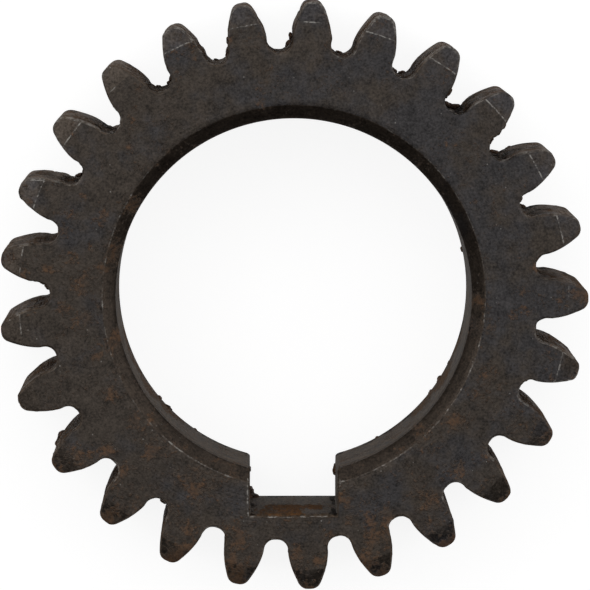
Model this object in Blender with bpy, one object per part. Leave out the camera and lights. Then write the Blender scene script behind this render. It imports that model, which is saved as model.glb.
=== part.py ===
"""Spur gear with a keyed bore, lying flat on its back face.

The gear is one piece of steel. Its axis is +Z, the origin is on the axis in the plane of the back face, and the
keyway points towards -Y. All lengths are metres and all angles are radians.

The solid is the overlap of two simple bodies. The toothed bar has the gear's plan all the way up: the involute
teeth outside, and the bore with its keyway inside. The turned section is a ring with the gear's face width and
its four turned chamfers, two at the tooth tips and two at the bore.
"""

import math

import bmesh
import bpy
from mathutils import Vector

# Teeth
MODULE = 0.003175
TOOTH_COUNT = 25
PRESSURE_ANGLE = math.radians(20.0)
TIP_HEIGHT_IN_MODULES = 1.0
ROOT_DEPTH_IN_MODULES = 1.31
ROOT_FILLET = 0.00165
TIP_ROUND = 0.00145
LEAST_LAND = 0.0002
TOOTH_PHASE = math.radians(3.2)

# Faces and turned chamfers
FACE_WIDTH = 0.0254
EDGE_BREAK = 0.00025
TIP_CHAMFER_HEIGHT = 0.00293
TIP_CHAMFER_ANGLE = math.radians(15.0)

# Bore and keyway
RIM_WALL = 0.009657
FRONT_CHAMFER_WIDTH = 0.00195
FRONT_CHAMFER_DEPTH = 0.0016
BACK_CHAMFER_WIDTH = 0.00195
BACK_CHAMFER_DEPTH = 0.0038
KEYWAY_WIDTH = 0.0128
KEYWAY_DEPTH = 0.00593
KEYWAY_MOUTH_ROUND = 0.0006

# Finish of the dark oxidised steel
STEEL_COLOUR = (0.040, 0.034, 0.031, 1.0)
STEEL_ROUGHNESS = 0.55
STEEL_METALLIC = 0.7

# Faceting
FLANK_STEPS = 6
FILLET_STEPS = 4
TIP_ROUND_STEPS = 4
MOUTH_ROUND_STEPS = 3
TURNED_STEPS_PER_TOOTH = 3
SMOOTH_ANGLE = math.radians(32.0)
HALVINGS = 40

# How far a body, and the slope of a broken edge, run past the surface that trims them
OVERRUN = 0.001
SLOPE_OVERRUN = 0.0002

# Circles of the gear
PITCH_RADIUS = MODULE * TOOTH_COUNT / 2
BASE_RADIUS = PITCH_RADIUS * math.cos(PRESSURE_ANGLE)
TIP_RADIUS = PITCH_RADIUS + MODULE * TIP_HEIGHT_IN_MODULES
ROOT_RADIUS = PITCH_RADIUS - MODULE * ROOT_DEPTH_IN_MODULES
TIP_CHAMFER_RADIUS = TIP_RADIUS - TIP_CHAMFER_HEIGHT
BORE_RADIUS = ROOT_RADIUS - RIM_WALL
HALF_PITCH = math.pi / TOOTH_COUNT
BASE_HALF_ANGLE = HALF_PITCH / 2 + math.tan(PRESSURE_ANGLE) - PRESSURE_ANGLE

KEYWAY_DIRECTION = -math.pi / 2
FIRST_TOOTH = KEYWAY_DIRECTION + TOOTH_PHASE
TURNED_STEPS = TURNED_STEPS_PER_TOOTH * TOOTH_COUNT


def polar(radius, angle):
    """Plan point at a distance and a direction from the axis."""
    return Vector((radius * math.cos(angle), radius * math.sin(angle)))


def spread(start, end, steps):
    """Evenly spaced values from start to end, both included."""
    return [start + (end - start) * step / steps for step in range(steps + 1)]


def flank_point(roll):
    """Point of the involute flank and the flank's normal there, on a tooth that points along +X.

    A taut string of length roll leaves the base circle square to its radius, and its end draws the flank. The
    string is the flank's normal.
    """
    foot_angle = BASE_HALF_ANGLE - roll / BASE_RADIUS
    normal = polar(1.0, foot_angle + math.pi / 2)
    return polar(BASE_RADIUS, foot_angle) + normal * roll, normal


def tip_round_centre(radius):
    """Centre of the round that touches the tip circle and the flank from inside, and the roll where it touches."""
    centre_radius = TIP_RADIUS - radius
    string_length = math.sqrt(centre_radius ** 2 - BASE_RADIUS ** 2)
    roll = string_length + radius
    angle = BASE_HALF_ANGLE - roll / BASE_RADIUS + math.atan(string_length / BASE_RADIUS)
    return centre_radius, angle, roll


def root_fillet_centre(radius):
    """Centre of the fillet that touches the root circle and the flank, and the roll where it touches.

    A fillet that ends below the base circle touches the straight radial foot of the flank, and the roll is 0.
    """
    centre_radius = ROOT_RADIUS + radius
    reach_squared = centre_radius ** 2 - BASE_RADIUS ** 2
    if reach_squared <= radius ** 2:
        return centre_radius, BASE_HALF_ANGLE + math.asin(radius / centre_radius), 0.0
    string_length = math.sqrt(reach_squared)
    roll = string_length - radius
    angle = BASE_HALF_ANGLE - roll / BASE_RADIUS + math.atan(string_length / BASE_RADIUS)
    return centre_radius, angle, roll


def largest_fitting(wanted, fits):
    """The wanted radius, or where its walls leave no room for it, the largest smaller one that fits."""
    if fits(wanted):
        return wanted
    small, large = 0.0, wanted
    for _ in range(HALVINGS):
        middle = (small + large) / 2
        if fits(middle):
            small = middle
        else:
            large = middle
    return small


def half_tooth():
    """Points and outward normals of half a tooth that points along +X, from its tip land down to the root."""
    least_tip_angle = LEAST_LAND / 2 / TIP_RADIUS
    tip_radius = largest_fitting(TIP_ROUND, lambda size: tip_round_centre(size)[1] >= least_tip_angle)
    centre_radius, centre_angle, tip_roll = tip_round_centre(tip_radius)
    centre = polar(centre_radius, centre_angle)
    flank_direction = BASE_HALF_ANGLE - tip_roll / BASE_RADIUS + math.pi / 2
    outline = []
    for angle in spread(centre_angle, flank_direction, TIP_ROUND_STEPS):
        outline.append((centre + polar(tip_radius, angle), polar(1.0, angle)))

    most_root_angle = HALF_PITCH - LEAST_LAND / 2 / ROOT_RADIUS
    fillet_radius = largest_fitting(ROOT_FILLET, lambda size: root_fillet_centre(size)[1] <= most_root_angle)
    centre_radius, centre_angle, root_roll = root_fillet_centre(fillet_radius)
    for roll in spread(tip_roll, root_roll, FLANK_STEPS)[1:]:
        outline.append(flank_point(roll))

    centre = polar(centre_radius, centre_angle)
    flank_direction = BASE_HALF_ANGLE - root_roll / BASE_RADIUS + math.pi / 2
    first_step = 0 if root_roll == 0.0 else 1
    for angle in spread(flank_direction, centre_angle, FILLET_STEPS)[first_step:]:
        outline.append((centre - polar(fillet_radius, angle), polar(1.0, angle)))
    return outline


def toothed_outline():
    """Points and outward normals of the whole toothed plan, counter-clockwise."""
    upper_half = half_tooth()
    mirrored = [(Vector((p.x, -p.y)), Vector((n.x, -n.y))) for p, n in reversed(upper_half)]
    tooth = mirrored + upper_half
    outline = []
    for index in range(TOOTH_COUNT):
        turn = FIRST_TOOTH + 2 * HALF_PITCH * index
        for point, normal in tooth:
            outline.append((rotated(point, turn), rotated(normal, turn)))
    return outline


def rotated(vector, angle):
    """Plan vector turned about the axis."""
    cosine, sine = math.cos(angle), math.sin(angle)
    return Vector((vector.x * cosine - vector.y * sine, vector.x * sine + vector.y * cosine))


def keyed_bore_outline():
    """Points of the bore with its keyway and the rounds at the keyway's mouth, counter-clockwise."""
    half_width = KEYWAY_WIDTH / 2
    floor = -(BORE_RADIUS + KEYWAY_DEPTH)
    round_x = half_width + KEYWAY_MOUTH_ROUND
    round_y = -math.sqrt((BORE_RADIUS + KEYWAY_MOUTH_ROUND) ** 2 - round_x ** 2)
    round_centre = Vector((round_x, round_y))
    mouth_angle = math.atan2(round_y, round_x)
    right_side = [Vector((half_width, floor))]
    for angle in spread(math.pi, mouth_angle + math.pi, MOUTH_ROUND_STEPS):
        right_side.append(round_centre + polar(KEYWAY_MOUTH_ROUND, angle))

    arc = []
    step = 2 * math.pi / TURNED_STEPS
    for index in range(TURNED_STEPS):
        angle = FIRST_TOOTH + (index + 0.5) * step
        if mouth_angle + step / 4 < angle < math.pi - mouth_angle - step / 4:
            arc.append(polar(BORE_RADIUS, angle))
    left_side = [Vector((-point.x, point.y)) for point in reversed(right_side)]
    return right_side + arc + left_side


def front_height(radius):
    """Height of the front face and its tip chamfer at a distance from the axis."""
    return FACE_WIDTH - max(0.0, radius - TIP_CHAMFER_RADIUS) * math.tan(TIP_CHAMFER_ANGLE)


def add_loop(mesh, points, heights):
    """Vertices of one closed loop of plan points, each at its own height."""
    return [mesh.verts.new((point.x, point.y, height)) for point, height in zip(points, heights)]


def add_wall(mesh, lower, upper):
    """Faces between two loops of as many vertices."""
    for index in range(len(lower)):
        following = (index + 1) % len(lower)
        mesh.faces.new((lower[index], lower[following], upper[following], upper[index]))


def add_cap(mesh, outer, inner):
    """Flat cap between an outer loop and the loop of its hole."""
    edges = []
    for loop in (outer, inner):
        for index in range(len(loop)):
            edges.append(mesh.edges.get((loop[index - 1], loop[index])))
    bmesh.ops.triangle_fill(mesh, use_beauty=True, use_dissolve=False, edges=edges)


def finished_object(mesh, name):
    """Scene object from the working mesh, with its normals turned outwards."""
    bmesh.ops.recalc_face_normals(mesh, faces=mesh.faces)
    data = bpy.data.meshes.new(name)
    mesh.to_mesh(data)
    mesh.free()
    made = bpy.data.objects.new(name, data)
    bpy.context.scene.collection.objects.link(made)
    return made


def make_toothed_bar():
    """Bar with the gear's plan, its tooth edges broken at the heights where the turned section trims it."""
    lengthening = 1.0 + SLOPE_OVERRUN / EDGE_BREAK
    walls, inset, wall_tops, slope_tops = [], [], [], []
    for point, normal in toothed_outline():
        wall_top = front_height(point.length) - EDGE_BREAK
        edge_height = front_height((point - normal * EDGE_BREAK).length)
        walls.append(point)
        inset.append(point - normal * EDGE_BREAK * lengthening)
        wall_tops.append(wall_top)
        slope_tops.append(wall_top + (edge_height - wall_top) * lengthening)
    wall_bottoms = [FACE_WIDTH - height for height in wall_tops]
    slope_bottoms = [FACE_WIDTH - height for height in slope_tops]
    top = FACE_WIDTH + OVERRUN
    bottom = -OVERRUN

    mesh = bmesh.new()
    loops = [
        add_loop(mesh, inset, [bottom] * len(inset)),
        add_loop(mesh, inset, slope_bottoms),
        add_loop(mesh, walls, wall_bottoms),
        add_loop(mesh, walls, wall_tops),
        add_loop(mesh, inset, slope_tops),
        add_loop(mesh, inset, [top] * len(inset)),
    ]
    for lower, upper in zip(loops, loops[1:]):
        add_wall(mesh, lower, upper)

    bore = keyed_bore_outline()
    bore_bottom = add_loop(mesh, bore, [bottom] * len(bore))
    bore_top = add_loop(mesh, bore, [top] * len(bore))
    add_wall(mesh, bore_bottom, bore_top)
    add_cap(mesh, loops[0], bore_bottom)
    add_cap(mesh, loops[-1], bore_top)
    return finished_object(mesh, "gear")


def make_turned_section():
    """Turned ring with the face width, the tip chamfers and the bore chamfers, wider than the teeth and the bore."""
    outer = TIP_RADIUS + OVERRUN
    inner = BORE_RADIUS - OVERRUN
    tip_drop = (outer - TIP_CHAMFER_RADIUS) * math.tan(TIP_CHAMFER_ANGLE)
    front_drop = FRONT_CHAMFER_DEPTH * (1.0 + OVERRUN / FRONT_CHAMFER_WIDTH)
    back_rise = BACK_CHAMFER_DEPTH * (1.0 + OVERRUN / BACK_CHAMFER_WIDTH)
    profile = [
        (inner, back_rise),
        (BORE_RADIUS + BACK_CHAMFER_WIDTH, 0.0),
        (TIP_CHAMFER_RADIUS, 0.0),
        (outer, tip_drop),
        (outer, FACE_WIDTH - tip_drop),
        (TIP_CHAMFER_RADIUS, FACE_WIDTH),
        (BORE_RADIUS + FRONT_CHAMFER_WIDTH, FACE_WIDTH),
        (inner, FACE_WIDTH - front_drop),
    ]
    mesh = bmesh.new()
    directions = [FIRST_TOOTH + 2 * math.pi * index / TURNED_STEPS for index in range(TURNED_STEPS)]
    loops = []
    for radius, height in profile:
        loops.append(add_loop(mesh, [polar(radius, angle) for angle in directions], [height] * TURNED_STEPS))
    for index in range(len(loops)):
        add_wall(mesh, loops[index - 1], loops[index])
    section = finished_object(mesh, "turned_section")
    section.hide_render = True
    section.display_type = "WIRE"
    return section


def make_steel():
    """Dark oxidised steel."""
    steel = bpy.data.materials.new("gear_steel")
    steel.use_nodes = True
    shader = steel.node_tree.nodes["Principled BSDF"]
    shader.inputs["Base Color"].default_value = STEEL_COLOUR
    shader.inputs["Roughness"].default_value = STEEL_ROUGHNESS
    shader.inputs["Metallic"].default_value = STEEL_METALLIC
    return steel


def make_gear():
    """The gear: the toothed bar trimmed to the turned section."""
    gear = make_toothed_bar()
    gear.data.materials.append(make_steel())
    gear.data.shade_smooth()
    gear.data.set_sharp_from_angle(angle=SMOOTH_ANGLE)
    trim = gear.modifiers.new("turned_section", "BOOLEAN")
    trim.operation = "INTERSECT"
    trim.solver = "EXACT"
    trim.object = make_turned_section()
    return gear


def main():
    for leftover in list(bpy.data.objects):
        bpy.data.objects.remove(leftover, do_unlink=True)
    make_gear()


main()
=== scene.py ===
import dataclasses
import itertools
import math

import bpy
import numpy as np
from mathutils import Matrix, Vector


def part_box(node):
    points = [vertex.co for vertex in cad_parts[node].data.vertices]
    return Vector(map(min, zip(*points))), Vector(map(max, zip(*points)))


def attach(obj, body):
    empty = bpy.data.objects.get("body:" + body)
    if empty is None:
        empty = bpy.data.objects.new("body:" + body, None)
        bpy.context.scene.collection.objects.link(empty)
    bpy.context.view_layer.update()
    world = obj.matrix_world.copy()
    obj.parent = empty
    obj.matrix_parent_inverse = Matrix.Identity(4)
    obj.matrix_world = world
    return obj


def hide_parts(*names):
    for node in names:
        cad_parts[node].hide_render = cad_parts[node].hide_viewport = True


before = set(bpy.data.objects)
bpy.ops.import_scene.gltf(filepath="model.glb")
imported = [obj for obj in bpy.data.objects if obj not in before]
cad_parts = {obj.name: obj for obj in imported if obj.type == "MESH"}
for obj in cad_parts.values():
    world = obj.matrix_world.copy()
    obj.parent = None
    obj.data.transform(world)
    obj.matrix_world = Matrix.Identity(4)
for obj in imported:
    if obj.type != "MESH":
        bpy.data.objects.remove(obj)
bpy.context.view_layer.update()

bl_info = {
    "name": "Toothed gear",
    "version": (1, 0, 0),
    "blender": (4, 5, 0),
    "location": "View3D > Sidebar > Toothed gear",
    "description": "Dark, worn and rusty spur gear with a keyed bore, in a white studio",
    "category": "Add Mesh",
}

# Lengths are metres and angles are radians, unless a comment says otherwise. The gear lies on its back, its
# axis is +Z and its keyway points towards -Y.
MM = 0.001
GEAR_LOW, GEAR_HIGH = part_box("gear")
GEAR_BODY = "root"

# Fineness of the surfaces
COLUMNS_PER_TOOTH = 64
OUTLINE_SAMPLES = 60
LUMP_STEPS = 4
LUMPS_TO_A_PLACE = 6
# How far a lump's middle stays from the front and the back, in millimetres
LUMP_MARGIN = 0.8
# How far the guard rows, which keep an edge crisp, stand from it
GUARD = 0.07 * MM
# Distance from the rim that is given to the bore, whose wall shows no worn rim
NO_RIM = 9 * MM
# Width of the broken edge round the keyway
KEYWAY_EDGE = 0.32 * MM
# Least share of a column that the bore chamfer takes
LEAST_SHARE = 0.03
# Where columns meet the bore: the one at the foot of a flank, from the middle of its tooth, and the one at
# the corner of the keyway, from the keyway's middle. Its round mouth takes this share of the angle past that
# corner.
INNER_FOOT_ANGLE = math.radians(4.3)
KEYWAY_CORNER_ANGLE = math.radians(10.9)
MOUTH_SHARE = 0.3

# Starts of the random patterns in the colours
EDGE_WEAR_SEED = 41
FOOT_DARKENING_SEED = 71
ROOT_GRIME_SEED = 81
FLANK_RUST_SEED = 91
FLANK_SPOT_SEED = 97
# How far the pattern of the dark chips is moved from that of the worn lines
CHIP_SHIFT = (0.05, 0.02, 0.0)

# Softbox above: its middle, and its size
TOP_PLACE = (-0.1, 0.45, 1.3)
TOP_SIZE = (2.2, 1.7)
# Panels to the right, at the back and to the left: name, direction and rise in degrees, size, strength
PANEL_DISTANCE = 1.7
SIDE_PANELS = (
    ("right_panel", 14.0, 28.0, (1.7, 1.2), 1.05),
    ("back_panel", 82.0, 16.0, (2.3, 0.8), 0.8),
    ("left_panel", 152.0, 38.0, (1.7, 1.3), 0.92),
)
# Half the floor's width, how many points it has along a side, and how far it lies below the gear
FLOOR_REACH = 6.0
FLOOR_POINTS = 9
FLOOR_GAP = 0.1 * MM

# Places given one by one: distance from the axis in millimetres, direction in degrees, reach in millimetres
# and strength. First those of the rust.
RUST_PLACES = (
    (34.0, 145.5, 0.7, 0.8), (31.3, 176.1, 1.8, 0.7), (29.5, 187.2, 0.7, 0.7), (29.9, 196.8, 0.9, 0.8),
    (34.8, 189.5, 0.8, 0.8), (35.3, 6.7, 0.8, 1.2), (33.2, 1.6, 0.8, 0.7), (34.0, -3.6, 0.8, 0.7),
    (31.9, -4.9, 0.8, 0.6), (42.0, 0.7, 1.1, 1.0), (27.0, -108.6, 1.0, 0.5), (27.3, -55.3, 1.2, 0.5),
    (27.0, -46.7, 1.2, 0.5), (26.8, -1.2, 0.8, 0.9), (29.0, -9.7, 1.1, 0.5), (30.1, -22.4, 1.1, 0.7),
    (30.2, -28.4, 1.1, 0.7), (29.6, -37.5, 1.3, 0.8), (34.9, -46.6, 1.4, 0.9), (35.8, -56.2, 1.2, 0.8),
    (35.6, -66.7, 1.3, 0.8), (35.7, -134.9, 1.2, 0.9), (30.6, -133.0, 1.1, 0.8), (35.3, -140.6, 1.2, 0.9),
    (30.3, -151.7, 1.3, 0.8), (29.2, -142.0, 1.2, 0.6), (37.4, -114.2, 1.3, 0.9), (41.6, -114.1, 1.5, 1.0),
    (36.4, -102.3, 1.2, 0.8), (41.4, -100.8, 1.2, 0.7), (35.3, -81.3, 1.2, 0.7), (39.9, -74.8, 1.2, 0.7),
    (33.6, -76.3, 1.1, 0.6), (27.3, -140.0, 0.8, 0.8), (26.9, -126.0, 0.9, 0.7), (27.0, 150.0, 1.8, 0.7),
    (27.0, 166.0, 1.8, 0.7), (27.0, -166.0, 1.8, 0.9), (41.6, -130.0, 1.3, 0.6), (33.8, 154.5, 0.7, 0.9),
    (34.9, 159.7, 0.7, 0.9), (34.9, 163.5, 1.0, 0.9), (37.0, 160.6, 0.8, 0.6), (30.0, 156.7, 0.8, 0.8),
    (30.6, 159.5, 0.7, 0.9), (30.5, 166.4, 0.9, 0.7), (36.1, 173.5, 0.8, 0.9), (32.1, 169.9, 1.6, 0.6),
    (30.5, 174.5, 1.7, 0.6), (32.1, 177.5, 1.0, 0.8), (31.0, 179.1, 0.9, 0.7), (33.9, -177.0, 0.8, 0.9),
    (32.8, -177.8, 0.7, 0.7), (30.4, -174.5, 0.9, 0.8), (27.8, 171.8, 0.6, 0.8), (41.5, 172.4, 0.9, 0.8),
    (39.1, 175.0, 1.2, 0.8), (40.6, 160.1, 1.0, 0.8), (31.4, -117.0, 1.2, 0.7), (30.6, -113.9, 1.0, 0.6),
    (30.7, -120.2, 0.7, 0.6), (35.5, -102.5, 0.8, 0.7), (37.3, -89.0, 1.0, 0.8), (36.4, -89.4, 0.8, 0.6),
    (38.7, -84.8, 0.8, 1.0), (32.9, -86.0, 0.5, 0.8), (33.1, -81.1, 0.5, 0.7), (30.5, -76.0, 1.0, 0.7),
    (36.0, -71.1, 1.0, 0.7), (37.3, -72.2, 1.0, 0.7), (34.3, -71.2, 0.9, 0.6), (33.9, -66.6, 0.6, 0.7),
    (30.6, -63.9, 0.6, 0.6), (39.4, -103.1, 0.9, 0.8), (40.6, -101.8, 1.2, 0.45), (39.9, -112.6, 1.2, 0.8),
    (34.1, 122.3, 0.5, 0.8), (33.7, 125.9, 0.7, 0.8), (36.0, 130.2, 0.7, 0.7), (35.1, 131.6, 0.6, 0.7),
    (37.7, 112.3, 0.8, 0.8), (37.7, 126.8, 0.7, 0.7), (37.0, 117.4, 0.5, 0.7), (29.3, 100.2, 0.9, 0.6),
    (29.2, 119.3, 0.6, 0.6), (28.2, 130.5, 0.6, 0.8), (32.3, 137.7, 0.5, 0.6), (34.5, 132.8, 0.6, 0.6),
    (38.3, 104.1, 0.6, 0.9), (39.2, 115.7, 0.8, 0.6), (42.0, 130.0, 0.6, 0.8), (29.8, 28.2, 0.7, 0.7),
    (35.9, 63.4, 0.6, 0.7), (37.4, 48.2, 0.7, 0.7), (39.9, 55.5, 0.5, 0.7), (40.7, -112.1, 1.3, 0.7),
    (40.6, -124.0, 1.2, 0.6),
)
# Rust that creeps up the bore's wall from the back, where the strength says how far it gets. A strength of 1
# gets as far as DEEP_RUST_REACH, a share of the face width.
DEEP_RUST_REACH = 0.75
DEEP_RUST_PLACES = (
    (25.9, -158.0, 5.0, 0.9), (25.9, -146.0, 4.0, 1.0), (25.9, -136.0, 3.5, 0.9), (25.9, -66.0, 4.5, 0.3),
    (25.9, -54.0, 4.0, 0.45), (25.9, -42.0, 4.0, 0.9), (25.9, -30.0, 4.5, 1.0), (25.9, -17.0, 4.0, 0.7),
)
# Cooler steel
BLUE_PLACES = (
    (35.5, 68.0, 4.0, 0.8), (34.0, 57.0, 4.0, 0.9), (41.0, 104.0, 3.0, 1.0), (41.0, 86.0, 3.0, 1.0),
    (41.5, 72.0, 2.6, 0.7), (30.5, -121.0, 3.5, 0.5), (31.5, -108.0, 3.0, 0.8), (33.0, -66.0, 3.5, 0.7),
    (39.0, -146.0, 2.5, 1.6), (33.0, -127.0, 3.5, 0.5), (30.0, 15.0, 3.0, 0.6), (33.0, 30.0, 3.5, 0.6),
    (38.5, -12.0, 3.0, 0.5), (38.0, -24.0, 2.6, 0.6), (30.5, -45.0, 3.0, 0.5), (35.0, -97.0, 3.0, 0.6),
)
# Scale on the walls of the teeth
SCALE_PLACES = (
    (35.6, 108.5, 1.6, 0.4), (36.4, 121.5, 2.2, 0.8), (35.6, 94.2, 1.9, 0.6), (38.7, 110.5, 0.8, 0.7),
    (38.5, 105.0, 0.9, 0.8), (37.2, 91.0, 1.2, 0.8), (40.3, 97.0, 0.7, 0.5), (41.0, 88.9, 0.7, 0.4),
    (35.6, 136.4, 2.2, 0.9), (36.2, 146.2, 1.4, 0.6), (35.6, 50.0, 2.2, 1.9), (35.6, 35.6, 2.0, 1.4),
    (36.2, 21.2, 1.8, 0.8), (36.8, -35.5, 1.0, 0.7), (37.2, 178.5, 1.6, 0.9), (39.4, 153.6, 1.0, 0.5),
    (35.6, 79.5, 1.8, 0.5), (35.6, 64.4, 1.8, 0.5), (35.6, 150.8, 2.0, 1.0), (36.2, 7.0, 1.5, 0.8),
    (36.5, -7.5, 1.5, 0.6), (36.6, -21.5, 1.4, 0.5), (35.6, 165.2, 1.8, 0.5), (36.0, -122.8, 1.8, 0.6),
)
# Edges that are more worn than the rest, and edges that are still sound
WORN_PLACES = (
    (27.8, -128.0, 9.0, 0.14), (27.8, 180.0, 5.0, 0.25), (27.8, 190.0, 8.0, 0.2), (27.8, 165.0, 8.0, 0.16),
    (27.8, 148.0, 6.0, 0.1), (27.8, -62.0, 7.0, 0.04), (39.9, 57.2, 3.0, 0.15), (39.9, 42.8, 3.0, 0.1),
    (39.9, 114.8, 2.8, 0.25), (39.9, 143.6, 3.0, 0.15), (39.9, -14.8, 3.0, 0.1), (39.9, 157.2, 2.2, 0.6),
    (39.9, 169.5, 1.0, 0.4), (39.8, -176.5, 0.8, 0.35), (32.3, -95.7, 0.5, 0.4), (32.3, -82.1, 0.5, 0.3),
    (28.8, -103.2, 0.8, 0.25), (28.1, -75.4, 0.6, 0.5), (42.7, 100.4, 2.6, 0.3), (42.7, 86.0, 2.6, 0.35),
    (42.7, 71.6, 2.6, 0.35), (42.7, 114.8, 2.2, 0.2), (42.7, 57.2, 2.2, 0.2), (39.9, 86.0, 2.4, 0.12),
    (39.9, 100.4, 2.4, 0.12), (39.9, 28.4, 2.4, 0.1), (39.9, 14.0, 2.4, 0.08),
)
SOUND_PLACES = (
    (29.8, -77.4, 1.7, 0.45), (32.7, -79.0, 1.3, 0.35), (39.9, 127.0, 2.0, 0.3), (39.9, 93.0, 6.0, 0.08),
)
# Lumps of scale on the walls: distance from the axis in millimetres, direction in degrees, height above the
# back and radius in millimetres
SCALE_LUMPS = (
    (37.85, 104.8, 2.0, 0.45), (36.4, 105.4, 2.5, 0.6), (37.2, 90.6, 2.0, 0.45), (36.0, 90.7, 2.5, 0.6),
    (36.1, 120.7, 2.0, 0.55), (36.0, 123.6, 2.0, 0.35), (35.6, 108.8, 2.0, 0.3), (35.6, 78.5, 2.0, 0.4),
    (36.1, 64.7, 2.0, 0.4), (35.8, 63.1, 2.0, 0.4), (37.5, 52.5, 23.6, 0.5), (36.9, 52.2, 23.4, 0.5),
    (36.2, 48.4, 2.0, 0.7), (35.7, 49.6, 2.2, 0.7), (39.3, 38.8, 23.6, 0.32), (38.1, 38.4, 23.4, 0.34),
    (36.6, 37.6, 23.4, 0.36), (36.6, 33.9, 2.0, 0.6), (38.1, 32.8, 2.0, 0.4), (36.6, 19.7, 2.0, 0.7),
    (36.2, 22.8, 23.4, 0.4), (25.8, -140.2, 4.5, 0.42), (25.75, -136.2, 4.6, 0.45), (25.85, -134.8, 4.4, 0.3),
    (25.95, -124.1, 4.6, 0.3), (25.8, -26.1, 4.8, 0.3), (25.6, -32.3, 4.4, 0.5), (25.85, -37.6, 4.5, 0.32),
    (25.9, -61.0, 4.5, 0.25), (25.8, 12.5, 4.4, 0.4), (32.5, -101.0, 0.9, 0.65), (32.2, -100.5, 0.9, 1.05),
    (28.5, -77.1, 2.4, 0.7), (28.1, -102.8, 2.6, 0.3), (41.6, -147.6, 2.4, 0.75), (42.5, -145.8, 3.0, 0.5),
    (35.5, -122.6, 23.0, 0.5), (36.2, -110.6, 23.2, 0.4), (35.9, 152.5, 2.0, 0.5), (35.7, 150.6, 2.0, 0.5),
    (36.1, 177.9, 23.4, 0.38), (36.7, 177.3, 23.4, 0.32), (35.7, -35.3, 22.8, 0.35),
    (36.1, -20.2, 22.9, 0.35), (39.4, -24.2, 23.4, 0.3),
)
# Sides of the gear towards which the steel is cooler and the teeth are more rusty
BLUE_SIDE = math.radians(38.0)
RUSTY_SIDE = math.radians(-60.0)


def length_setting(label, about, default):
    """Setting that is a length."""
    return bpy.props.FloatProperty(name=label, description=about, default=default, unit="LENGTH")


def angle_setting(label, about, degrees):
    """Setting that is an angle."""
    return bpy.props.FloatProperty(
        name=label, description=about, default=math.radians(degrees), subtype="ANGLE")


def number_setting(label, about, default):
    """Setting that is a plain number."""
    return bpy.props.FloatProperty(name=label, description=about, default=default)


def colour_setting(label, about, red, green, blue):
    """Setting that is a colour."""
    return bpy.props.FloatVectorProperty(
        name=label, description=about, default=(red, green, blue, 1.0), size=4, subtype="COLOR")


class GearSizes(bpy.types.PropertyGroup):
    """Sizes of the gear, as the solid has them."""

    module: length_setting("Module", "Pitch diameter for each tooth", 3.175 * MM)
    tooth_count: bpy.props.IntProperty(name="Teeth", description="Number of teeth", default=25, min=12)
    pressure_angle: angle_setting("Pressure angle", "Slope of the flank at the pitch circle", 20.0)
    tip_height: number_setting("Tip height", "Tooth height above the pitch circle, in modules", 1.0)
    root_depth: number_setting("Root depth", "Tooth depth below the pitch circle, in modules", 1.31)
    root_fillet: length_setting("Root fillet", "Radius between flank and root", 1.65 * MM)
    tip_round: length_setting("Tip round", "Radius between flank and tip", 1.45 * MM)
    tooth_phase: angle_setting("Tooth phase", "Turn from the keyway to the nearest tooth", 3.2)
    face_width: length_setting("Face width", "Length of the gear along its axis", GEAR_HIGH.z - GEAR_LOW.z)
    edge_break: length_setting("Edge break", "Width of the broken edge round the teeth", 0.25 * MM)
    tip_chamfer_height: length_setting(
        "Tip chamfer height", "How far the tip chamfer reaches in from the tip circle", 2.93 * MM)
    tip_chamfer_angle: angle_setting("Tip chamfer angle", "Slope of the turned chamfer on the teeth", 15.0)
    rim_wall: length_setting("Rim wall", "Metal between the root circle and the bore", 9.657 * MM)
    chamfer_width: length_setting("Bore chamfer width", "Width of the bore chamfers on the faces", 1.95 * MM)
    front_chamfer_depth: length_setting(
        "Front chamfer depth", "Depth of the bore chamfer on the front", 1.6 * MM)
    back_chamfer_depth: length_setting(
        "Back chamfer depth", "Depth of the bore chamfer on the back", 3.8 * MM)
    keyway_width: length_setting("Keyway width", "Width of the keyway", 12.8 * MM)
    keyway_depth: length_setting("Keyway depth", "Depth of the keyway's floor below the bore", 5.93 * MM)
    mouth_round: length_setting("Keyway mouth round", "Radius at the keyway's mouth", 0.6 * MM)


class GearWear(bpy.types.PropertyGroup):
    """How worn the gear's surface is."""

    waviness: length_setting("Waviness", "Unevenness of the machined faces", 0.02 * MM)
    flank_pitting: length_setting("Flank pitting", "Depth of the pits in the tooth flanks", 0.07 * MM)
    scale_height: length_setting("Scale height", "Height of the dried grime and scale in the roots", 0.5 * MM)
    edge_nicks: length_setting("Edge nicks", "Depth of the nicks along the edges", 0.1 * MM)
    seed: bpy.props.IntProperty(name="Seed", description="Start of the random wear", default=7)


class GearColours(bpy.types.PropertyGroup):
    """Colours of the gear's finish and of the floor."""

    steel: colour_setting("Steel", "Oxidised steel", 0.047, 0.038, 0.031)
    blue_steel: colour_setting("Blued steel", "Cooler patches", 0.0395, 0.0368, 0.0375)
    dark_rust: colour_setting("Dark rust", "Old rust", 0.058, 0.037, 0.023)
    bright_rust: colour_setting("Bright rust", "Fresh rust", 0.112, 0.053, 0.021)
    grime: colour_setting("Grime", "Dried grease and dirt", 0.012, 0.008, 0.006)
    bare_metal: colour_setting("Bare metal", "Worn edges", 0.42, 0.40, 0.37)
    floor: colour_setting("Floor", "Studio floor", 0.25, 0.25, 0.25)


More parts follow.
